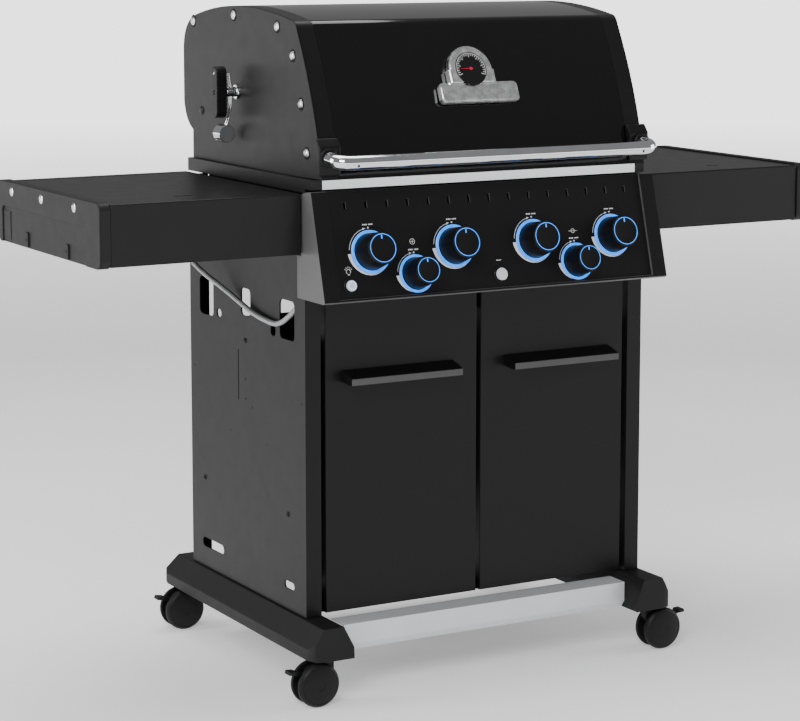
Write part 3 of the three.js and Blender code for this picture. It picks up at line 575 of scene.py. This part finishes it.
def edge_is_on_boundary(edge):
    middle = (edge.verts[0].co + edge.verts[1].co) / 2
    inner, outer = 355 * MM, 705 * MM
    near_end = min(abs(abs(middle.x) - inner), abs(abs(middle.x) - outer)) < 1e-4
    near_side = min(abs(middle.y - at(0, 0, 0).y), abs(middle.y - at(0, 467, 0).y)) < 1e-4
    return near_end or near_side


def add_shelf_cap(side):
    """A moulded end: a rounded box whose outer face is stepped back below a crease, with two hooks."""
    sign = SIDES[side]
    inner, step = 705.3, 722.0

    def across(lo, hi):
        return sorted((sign * lo, sign * hi))

    end = rounded_rect(-3, 775, 470, 885, 15)
    bm = bmesh.new()
    prism(bm, end, "x", *across(inner, step), 1.2, 2)
    raised = [*end, (58, 775), (58, 834), (64, 840), (442, 840), (448, 834), (448, 775)]
    prism(bm, raised, "x", *across(step - 0.5, SHELF_CAP_FACE), 1.4, 3)
    prism(bm, rounded_rect(412, 781, 445, 832, 2, 3), "x", *across(step - 0.5, step + 1), 0.4, 2)
    for y in (145, 332):
        hook = rounded_rect(y - 8, 777, y + 8, 803, 3, 3)
        prism(bm, hook, "x", *across(step - 0.5, SHELF_CAP_FACE), 0.8, 2)
    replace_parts(piece(f"shelf_cap_{side}_moulding", bm, "moulded", "cabinet"), f"shelf_cap_{side}")
    # Thin near-black discs on the cap: painted shade where its holes are.
    hole_shade_dots = bmesh.new()
    for y in (145, 332):
        for place, face, r in ((y, SHELF_CAP_FACE, 3.2), (y + 14, step, 1.6)):
            spot = facing(at(sign * face, place, 790), (sign, 0, 0))
            lathe(hole_shade_dots, [(0, 0), (r, 0), (r, 0.12), (0, 0.12)], spot, 20)
    piece(f"shelf_cap_{side}_painted_hole_shade", hole_shade_dots, "painted_shade_and_dial_black", "cabinet")


def add_shelves():
    refined("shelf_right", "shelf", 2.4, 3, edges=on_outer_skin)
    refined("shelf_left", "shelf", 2.4, 3, edges=on_outer_skin)
    refined("side_burner_lid", "shelf", 0.8, 2)
    refined("side_burner", "iron", 1.0, 2)
    for side in SIDES:
        add_shelf_cap(side)
    bm = bmesh.new()
    for sign in SIDES.values():
        for y in (399, 257, 108):
            bolt_head(bm, at(sign * (SHELF_CAP_FACE - 1.2), y, 868), (sign, 0, 0), 8.5, 2.8)
    piece("shelf_cap_bolts", bm, "bright", "cabinet")


# ---------- firebox, burners and gas ----------
def add_firebox():
    refined("firebox", "cast", 0.8, 2)
    refined("front_trim", "trim_steel", 0.4, 2)
    refined("grease_tray", "stainless", 0.6, 2)
    for i in range(1, 5):
        refined(f"burner_{i}", "stainless", 0.6, 2)
    refined("heat_plates", "stainless", 0.3, 1)
    for side in SIDES:
        refined(f"cooking_grid_{side}", "iron", 1.2, 2)
    refined("rear_burner", "stainless", 0.8, 2)
    refined("gas_manifold", "stainless", 0.8, 2)


# ---------- control panel ----------
def fascia(x, drop, height=0.0):
    """A matrix on the fascia: X across, Y up the slope and Z outwards."""
    top = Matrix.Translation(at(0, *PANEL_TOP)) @ Matrix.Rotation(PANEL_TILT, 4, "X")
    return top @ Matrix.Translation(Vector((x, -drop, height - FASCIA_SINK)) * MM)


def flat_band(bm, matrix, inner, outer, start, end, thickness=0.3, steps=48):
    """A flat curved strip between two angles in degrees, its radii given as functions or numbers."""
    def radius(value, t):
        return value(t) if callable(value) else value

    rows = []
    for i in range(steps + 1):
        t = i / steps
        angle = math.radians(start + (end - start) * t)
        direction = Vector((math.cos(angle), math.sin(angle), 0))
        low, high = direction * radius(inner, t) * MM, direction * radius(outer, t) * MM
        lift = Vector((0, 0, thickness * MM))
        rows.append([bm.verts.new(matrix @ p) for p in (low, high, high + lift, low + lift)])
    for a, b in zip(rows, rows[1:]):
        for k in range(4):
            bm.faces.new((a[k], a[(k + 1) % 4], b[(k + 1) % 4], b[k]))
    if abs(end - start) < 359:
        bm.faces.new(rows[0])
        bm.faces.new(rows[-1])
    else:
        bmesh.ops.remove_doubles(bm, verts=bm.verts, dist=1e-7)


def flat_patch(bm, matrix, points, thickness=0.3):
    low = [bm.verts.new(matrix @ (Vector((x, y, 0)) * MM)) for x, y in points]
    high = [bm.verts.new(matrix @ (Vector((x, y, thickness)) * MM)) for x, y in points]
    bm.faces.new(low)
    bm.faces.new(high)
    for i in range(len(points)):
        j = (i + 1) % len(points)
        bm.faces.new((low[i], low[j], high[j], high[i]))


def on_fascia(face):
    middle = face.calc_center_median()
    normal = fascia(0, 0).to_3x3() @ Vector((0, 0, 1))
    return 1 if face.normal.dot(normal) > 0.9 and abs(middle.x) < FASCIA_HALF * MM else 0


def add_knob(name, x, drop, scale, body):
    matrix = fascia(x, drop)
    r = 32 * scale
    skirt = [(r * 0.97, 1), (r, 2.4), (r, 6), (r * 0.985, 9), (r * 0.97, 14)]
    barrel = [(r * 0.9, 34), (r * 0.875, 40), (r * 0.84, 43.6), (r * 0.8, 45.0), (r * 0.77, 45.4)]
    dish = [(r * 0.73, 44.9), (r * 0.4, 44.5), (0, 44.4)]
    bm = bmesh.new()
    lathe(bm, [(0, -18), (5.5, -18), (5.5, 1), *skirt, *barrel, *dish], matrix, 72)
    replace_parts(piece(f"{name}_grip", bm, "knob", body, smooth=28), name)
    glow = bmesh.new()
    face = matrix @ Matrix.Translation(Vector((0, 0, 45.0 * MM)))
    flat_band(glow, face, r * 0.735, r * 0.775, 0, 360, 0.45, 72)
    pointer = face @ Matrix.Translation(Vector((0, 0, -0.3 * MM)))
    flat_patch(glow, pointer, [(-1.1, r * 0.5), (1.1, r * 0.5), (1.1, r * 0.7), (-1.1, r * 0.7)], 0.4)
    piece(f"{name}_light", glow, "blue", body)


def add_bezel(name, x, drop, scale, sweep_end):
    """The lit ring round a knob, and the printed flame scale beside it."""
    matrix = fascia(x, drop, 0.1)
    ring = bmesh.new()
    outline = ((32.6, 0), (37.6, 0), (37.9, 0.9), (36.6, 1.7), (32.6, 1.7), (32.6, 0))
    lathe(ring, [(r * scale, h) for r, h in outline], matrix, 72)
    piece(f"{name}_ring", ring, "blue", "cabinet", smooth=25)
    marks = bmesh.new()
    thick = 38.4 * scale
    flat_band(marks, matrix, thick, lambda t: thick + 6.2 * scale * (1 - t) ** 1.2 + 0.25, 182, sweep_end)
    flat_band(marks, matrix, 41 * scale, 41.8 * scale, 172, 104, steps=24)
    tip = math.radians(101)
    heading = Vector((math.cos(tip), math.sin(tip))) * 41.4 * scale
    arrow = ((-3, -2.4), (2.6, 0.4), (-2.2, 1.8))
    flat_patch(marks, matrix, [(heading.x + a, heading.y + b) for a, b in arrow])
    top = matrix @ Matrix.Translation(Vector((0, 42 * scale, 0)) * MM)
    lathe(marks, [(0, 0), (1.5, 0), (1.5, 0.3), (0, 0.3)], top, 20)
    low = 46.5 * scale
    for left, right in ((-10, -7.6), (-6.8, -4.4), (-3.6, -1.2), (1.4, 3), (3.8, 6.4), (7.2, 9.6)):
        flat_patch(marks, matrix, [(left, low), (right, low), (right, low + 2.2), (left, low + 2.2)])
    piece(f"{name}_marks", marks, "print", "cabinet")


def add_icons():
    """Small printed signs: a lamp, a spark, a burner and a spit."""
    bm = bmesh.new()
    lamp = fascia(LIGHT_X, 138, 0.1)
    flat_band(bm, lamp, 3.6, 4.4, -50, 230, steps=32)
    flat_patch(bm, lamp, [(-2, -6), (2, -6), (2, -4.6), (-2, -4.6)])
    for angle in (30, 60, 90, 120, 150):
        a = math.radians(angle)
        d, s = Vector((math.cos(a), math.sin(a))), Vector((-math.sin(a), math.cos(a))) * 0.35
        flat_patch(bm, lamp, [tuple(d * 6 - s), tuple(d * 8.6 - s), tuple(d * 8.6 + s), tuple(d * 6 + s)])
    spark = fascia(IGNITION_X, 139, 0.1)
    flat_patch(bm, spark, [
        (-5, 1), (-1, 1), (0, 0), (1, 1), (5, 1), (5, 2), (1.4, 2), (0, 1), (-1.4, 2), (-5, 2),
    ])
    burner = fascia(SMALL_KNOBS["side_burner"], 94, 0.1)
    flat_band(bm, burner, 4.4, 5.1, 0, 360, steps=40)
    flat_patch(bm, burner, [(-3.2, -0.35), (3.2, -0.35), (3.2, 0.35), (-3.2, 0.35)])
    flat_patch(bm, burner, [(-0.35, -3.2), (0.35, -3.2), (0.35, 3.2), (-0.35, 3.2)])
    spit = fascia(SMALL_KNOBS["rear_burner"], 95, 0.1)
    flat_patch(bm, spit, [(-9, -0.35), (9, -0.35), (9, 0.35), (-9, 0.35)])
    flat_band(bm, spit, 3.2, 3.9, 0, 360, steps=32)
    piece("panel_icons", bm, "print", "cabinet")


def add_button(node, x, r, body, glowing):
    matrix = fascia(x, BUTTON_DROP)
    bm = bmesh.new()
    cap = [(r * 0.96, 3.2), (r, 3.8), (r, 6.6), (r * 0.93, 7.6), (r * 0.8, 8), (0, 8)]
    lathe(bm, [(0, -12), (5, -12), (5, 3.2), *cap], matrix, 40)
    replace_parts(piece(f"{node}_cap", bm, "button", body, smooth=25), node)
    if glowing:
        bm = bmesh.new()
        flat_band(bm, matrix @ Matrix.Translation(Vector((0, 0, 7.7 * MM))), r * 0.58, r * 0.8, 0, 360, 0.4)
        piece(f"{node}_glow", bm, "pale_blue", body)
    bm = bmesh.new()
    collar = ((0.5, 0.1), (3, 0.1), (3, 1.6), (1.8, 2.4), (0.5, 2.4), (0.5, 0.1))
    lathe(bm, [(r + out, h) for out, h in collar], matrix, 40)
    piece(f"{node}_collar", bm, "knob", "cabinet")


def add_control_panel():
    refined("control_panel", "trim", 0.7, 2, looks=("fascia",), pick=on_fascia)
    for i, x in enumerate(LARGE_KNOBS, 1):
        add_knob(f"burner_knob_{i}", x, LARGE_DROP, 1.0, f"knob_{i}")
        add_bezel(f"burner_bezel_{i}", x, LARGE_DROP, 1.0, 300)
    for name, x in SMALL_KNOBS.items():
        add_knob(f"{name}_knob", x, SMALL_DROP, 0.86, f"{name}_control")
        add_bezel(f"{name}_bezel", x, SMALL_DROP, 0.88, 245)
    add_button("light_button", LIGHT_X, 9.6, "light_push", True)
    add_button("ignition_button", IGNITION_X, 11, "ignition_push", False)
    add_icons()


# ---------- lid ----------
def lid_arc(with_rear_skirt, steps=16):
    """Side outline (y, z) from the rear edge, over the top, to the front edge."""
    start = (529, 1006)
    path = [start]
    if with_rear_skirt:
        path = [(490, 897), (490, 957), *quadratic((490, 957), (524, 972), (529, 1012), steps)]
    path.append((529, 1105))
    path += quadratic((529, 1105), (527, 1160), (470, 1172), steps)
    path += quadratic((470, 1172), (290, 1212), (78, 1172.5), steps)
    path += quadratic((78, 1172.5), (65, 1171), (59, 1154), 6)
    path += quadratic((59, 1154), (-8, 1030), (-30, 906), steps)
    return path


def inwards(points, distance):
    moved = []
    for i, (a, b) in enumerate(points):
        pa, pb = points[max(i - 1, 0)]
        na, nb = points[min(i + 1, len(points) - 1)]
        length = math.hypot(na - pa, nb - pb)
        moved.append((a - distance * (nb - pb) / length, b + distance * (na - pa) / length))
    return moved


def lid_band(with_rear_skirt, thickness):
    arc = lid_arc(with_rear_skirt)
    return [*arc, *reversed(inwards(arc, thickness))]


def add_lid_shell():
    bm = bmesh.new()
    prism(bm, lid_band(False, 3), "x", -LID_PANEL_HALF, LID_PANEL_HALF)
    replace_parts(piece("lid_shell_panel", bm, "enamel", "lid", smooth=25), "lid_shell")


CAP_BOLTS = ((482, 1159), (309, 1175), (135, 1160), (76, 1112), (46, 1031), (25, 948))


def add_lid_cap(side):
    sign = SIDES[side]
    band = sorted((sign * (LID_PANEL_HALF + 0.3), sign * (LID_HALF - 0.6)))
    plate = sorted((sign * (LID_HALF - 4), sign * LID_HALF))
    bm = bmesh.new()
    prism(bm, lid_arc(True), "x", *plate, 1.2, 3)
    prism(bm, lid_band(True, 5), "x", *band)
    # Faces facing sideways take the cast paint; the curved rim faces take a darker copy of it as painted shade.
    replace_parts(piece(f"lid_cap_{side}_casting", bm, "cast", "lid", looks=("cast_rim_painted_shade",),
                      pick=lambda f: 0 if abs(f.normal.x) > 0.5 else 1, smooth=30), f"lid_cap_{side}")
    outside = sign * LID_HALF
    # Thin near-black discs under the bolts: painted shade in the bolt pockets.
    painted_pocket_shade, bolts = bmesh.new(), bmesh.new()
    for y, z in CAP_BOLTS:
        spot = facing(at(outside, y, z), (sign, 0, 0))
        lathe(painted_pocket_shade, [(0, 0), (11.6, 0), (11.2, 0.3), (9.6, 0.35), (0, 0.35)], spot, 32)
        bolt_head(bolts, at(outside + sign * 0.3, y, z), (sign, 0, 0), 8.2, 3.2)
    piece(f"lid_cap_{side}_pockets", painted_pocket_shade, "painted_shade_and_dial_black", "lid")
    piece(f"lid_cap_{side}_bolts", bolts, "bright", "lid")
    hinge = bmesh.new()
    bolt_head(hinge, at(outside, *LID_HINGE), (sign, 0, 0), 8, 2.6, socket=False)
    piece(f"lid_hinge_{side}_boss", hinge, "cast", "lid")


def add_lid_handle():
    bm = bmesh.new()
    bar_x, y, z = 294, -75, 938
    root = 321
    left = [at(-root, -34, 944), at(-root, -50, 942)]
    bend = [at(*p) for p in quadratic((-root, -50, 942), (-root, y, z), (-bar_x, y, z), 12)]
    straight = [at(-bar_x + i * bar_x / 6, y, z) for i in range(1, 12)]
    half = left + bend
    mirrored = [Vector((-p.x, p.y, p.z)) for p in reversed(half)]
    sweep(bm, half + straight + mirrored, 12.5, 32)
    tube = piece("lid_handle_tube", bm, "chrome", "lid", smooth=40)
    profile = [(-34, 917), (-34, 962), (-22, 977), (-14.8, 975), (-20.8, 953), (-26.2, 928), (-29.8, 911)]
    mounts = bmesh.new()
    for sign in SIDES.values():
        prism(mounts, profile, "x", *sorted((sign * 296, sign * 337)), 2.6, 3)
        lathe(mounts, [(12.9, -1), (17, -1), (17, 2.2), (15.6, 3.6), (12.9, 3.6), (12.9, -1)],
              facing(at(sign * root, -34, 944), (0, -1, -0.1)), 40)
    piece("lid_handle_mounts", mounts, "knob", "lid")
    screws = bmesh.new()
    for sign in SIDES.values():
        bolt_head(screws, at(sign * 290, y - 11.4, z - 4.6), (0, -0.93, -0.37), 2.4, 0.9)
    piece("lid_handle_screws", screws, "knob", "lid")
    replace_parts(tube, "lid_handle")


def add_thermometer():
    """A round-topped chrome case with a dial, standing on a plain name plate with no name."""
    lean = math.atan2(12.6 - 39.8, 1116 - 1054.6)
    base = Matrix.Translation(at(-13.5, 10.3, 1055.2)) @ Matrix.Rotation(math.pi / 2 + lean, 4, "X")

    def local(h):
        return base @ Matrix.Translation(Vector((0, 0, h * MM)))

    def arch(w, r, foot, height):
        points = [(-w, foot), (w, foot), (w, height)]
        turns = [math.pi * i / 24 for i in range(25)]
        points += [(r * math.cos(a), height + r * math.sin(a)) for a in turns]
        return [*points, (-w, height)]

    case = bmesh.new()
    flat_patch(case, local(0), arch(47, 44, 0, 26), 10)
    flat_patch(case, local(10), arch(43, 40.5, 3, 26), 2.2)
    flat_patch(case, local(0), rounded_rect(-70, -34, 90, 3, 8), 7.6)
    flat_patch(case, local(7.6), rounded_rect(-66, -30.5, 86, -0.5, 6), 1.1)
    bevel(case, sharp_edges(case, 50), 1.0, 3)
    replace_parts(piece("thermometer_case", case, "bright", "lid", smooth=35), "thermometer")
    centre = local(12.2) @ Matrix.Translation(Vector((0, 27, 0)) * MM)
    dial = bmesh.new()
    lathe(dial, [(0, 0), (31, 0), (31, 0.35), (0, 0.35)], centre, 64)
    piece("thermometer_dial", dial, "painted_shade_and_dial_black", "lid")
    marks = bmesh.new()
    for i in range(25):
        a = math.radians(205 - i * 230 / 24)
        reach = 21 if i % 4 == 0 else 24
        d, s = Vector((math.cos(a), math.sin(a))), Vector((-math.sin(a), math.cos(a))) * 0.42
        flat_patch(marks, centre @ Matrix.Translation(Vector((0, 0, 0.36 * MM))),
                   [tuple(d * reach - s), tuple(d * 27.5 - s), tuple(d * 27.5 + s), tuple(d * reach + s)], 0.12)
    flat_band(marks, centre @ Matrix.Translation(Vector((0, 0, 0.36 * MM))), 28.3, 29, 205, -25, 0.12)
    piece("thermometer_marks", marks, "print", "lid")
    needle = bmesh.new()
    above = centre @ Matrix.Translation(Vector((0, 0, 0.5 * MM)))
    flat_patch(needle, above, [(4, -0.8), (-21, -0.25), (-21, 0.25), (4, 0.8)], 0.3)
    lathe(needle, [(0, 0), (3, 0), (2.6, 0.5), (0, 0.5)], above, 24)
    piece("thermometer_needle", needle, "red", "lid")


# ---------- spit ----------
def add_spit():
    y, z = SPIT
    refined("spit_rod", "stainless", 0.5, 2)
    grip = bmesh.new()
    prism(grip, rounded_rect(y - 12, z - 46, y + 12, z + 46, 11, 8), "x", -376, -356, 2.2, 3)
    for i in range(-5, 6):
        rib = z + i * 7
        prism(grip, rounded_rect(y - 12.4, rib - 1.2, y + 12.4, rib + 1.2, 1.1, 3), "x", -376.6, -355.8)
    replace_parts(piece("spit_grip", grip, "knob", "spit"), "spit_handle")
    bright = bmesh.new()
    bushing = [(9, -1), (13.5, -1), (13.5, 2.4), (12, 3.6), (9, 3.6), (9, -1)]
    lathe(bright, bushing, facing(at(-331, y, z), (-1, 0, 0)), 32)
    for offset in (-3, 3):
        side = y + offset
        bow = [at(-348, side, z + 34)]
        bow += [at(*p) for p in quadratic((-346, side, z + 20), (-342, side, z), (-346, side, z - 38), 8)]
        bow += [at(-352, side, z - 56), at(-357, side, z - 66)]
        sweep(bright, bow, 1.6, 12)
    bolt_head(bright, at(-375.5, y, z + 34), (-1, 0, 0), 3, 1.6)
    piece("spit_fittings", bright, "chrome", "spit")
    weight = bmesh.new()
    drum = [(0, -14), (15, -14), (16, -13), (16, 13), (15, 14), (0, 14)]
    lathe(weight, drum, facing(at(-357, y, z - 74), (0, 1, 0)), 40)
    hub = [(0, 0), (9, 0), (9, 12), (7.6, 14), (0, 14)]
    lathe(weight, hub, facing(at(-341, y, z), (-1, 0, 0)), 32)
    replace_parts(piece("spit_counterweight", weight, "chrome", "spit"), "counterweight")
    refined("spit_motor", "stainless", 1.4, 3)


# ---------- studio ----------
def add_studio():
    bm = bmesh.new()
    reach = 100
    floor = [bm.verts.new((x * reach, y * reach, 0)) for x, y in ((-1, -1), (1, -1), (1, 1), (-1, 1))]
    bm.faces.new(floor)
    mesh = bpy.data.meshes.new("floor")
    bm.to_mesh(mesh)
    bm.free()
    n = Nodes("floor")
    n.link(n.ramp(n.noise(900, 2), srgb("#f4f4f4"), srgb("#f8f8f8")), n.surface.inputs["Base Color"])
    n.link(n.spread(n.noise(300, 2), 0.55, 0.65), n.surface.inputs["Roughness"])
    distance = n.new("ShaderNodeVectorMath", operation="LENGTH")
    n.link(n.place, distance.inputs[0])
    n.link(n.spread(distance.outputs["Value"], 0.35, 2.4, 3.4, 13.0), n.surface.inputs["Emission Strength"])
    n.set(Specular_IOR_Level=0.2, Emission_Color=(1, 1, 1, 1))
    mesh.materials.append(n.material)
    floor_object = bpy.data.objects.new("floor", mesh)
    bpy.context.scene.collection.objects.link(floor_object)

    world = bpy.data.worlds.new("studio")
    world.use_nodes = True
    background = world.node_tree.nodes["Background"]
    background.inputs["Color"].default_value = (1, 1, 1, 1)
    background.inputs["Strength"].default_value = 0.26
    bpy.context.scene.world = world

    def softbox(name, place, look_at, size, power):
        data = bpy.data.lights.new(name, "AREA")
        data.shape = "RECTANGLE"
        data.size, data.size_y = size
        data.energy = power
        light = bpy.data.objects.new(name, data)
        bpy.context.scene.collection.objects.link(light)
        light.location = place
        light.rotation_euler = (Vector(look_at) - Vector(place)).to_track_quat("-Z", "Y").to_euler()

    middle = (0, 0, 0.7)
    softbox("key", (-3.2, -3.6, 3.6), middle, (2.4, 2.4), 170)
    softbox("fill", (4.4, -1.2, 1.4), middle, (2.0, 2.6), 60)
    softbox("top", (0, 0.6, 4.2), middle, (3.2, 2.2), 110)
    softbox("left_strip", (-4.2, 1.2, 1.9), middle, (1.4, 2.6), 80)


add_camera()
add_hose()
add_base()
for row in CASTERS:
    for side in SIDES:
        add_caster(row, side)
add_cabinet()
add_doors()
add_shelves()
add_firebox()
add_control_panel()
add_lid_shell()
for side in SIDES:
    add_lid_cap(side)
add_lid_handle()
add_thermometer()
add_spit()
add_studio()
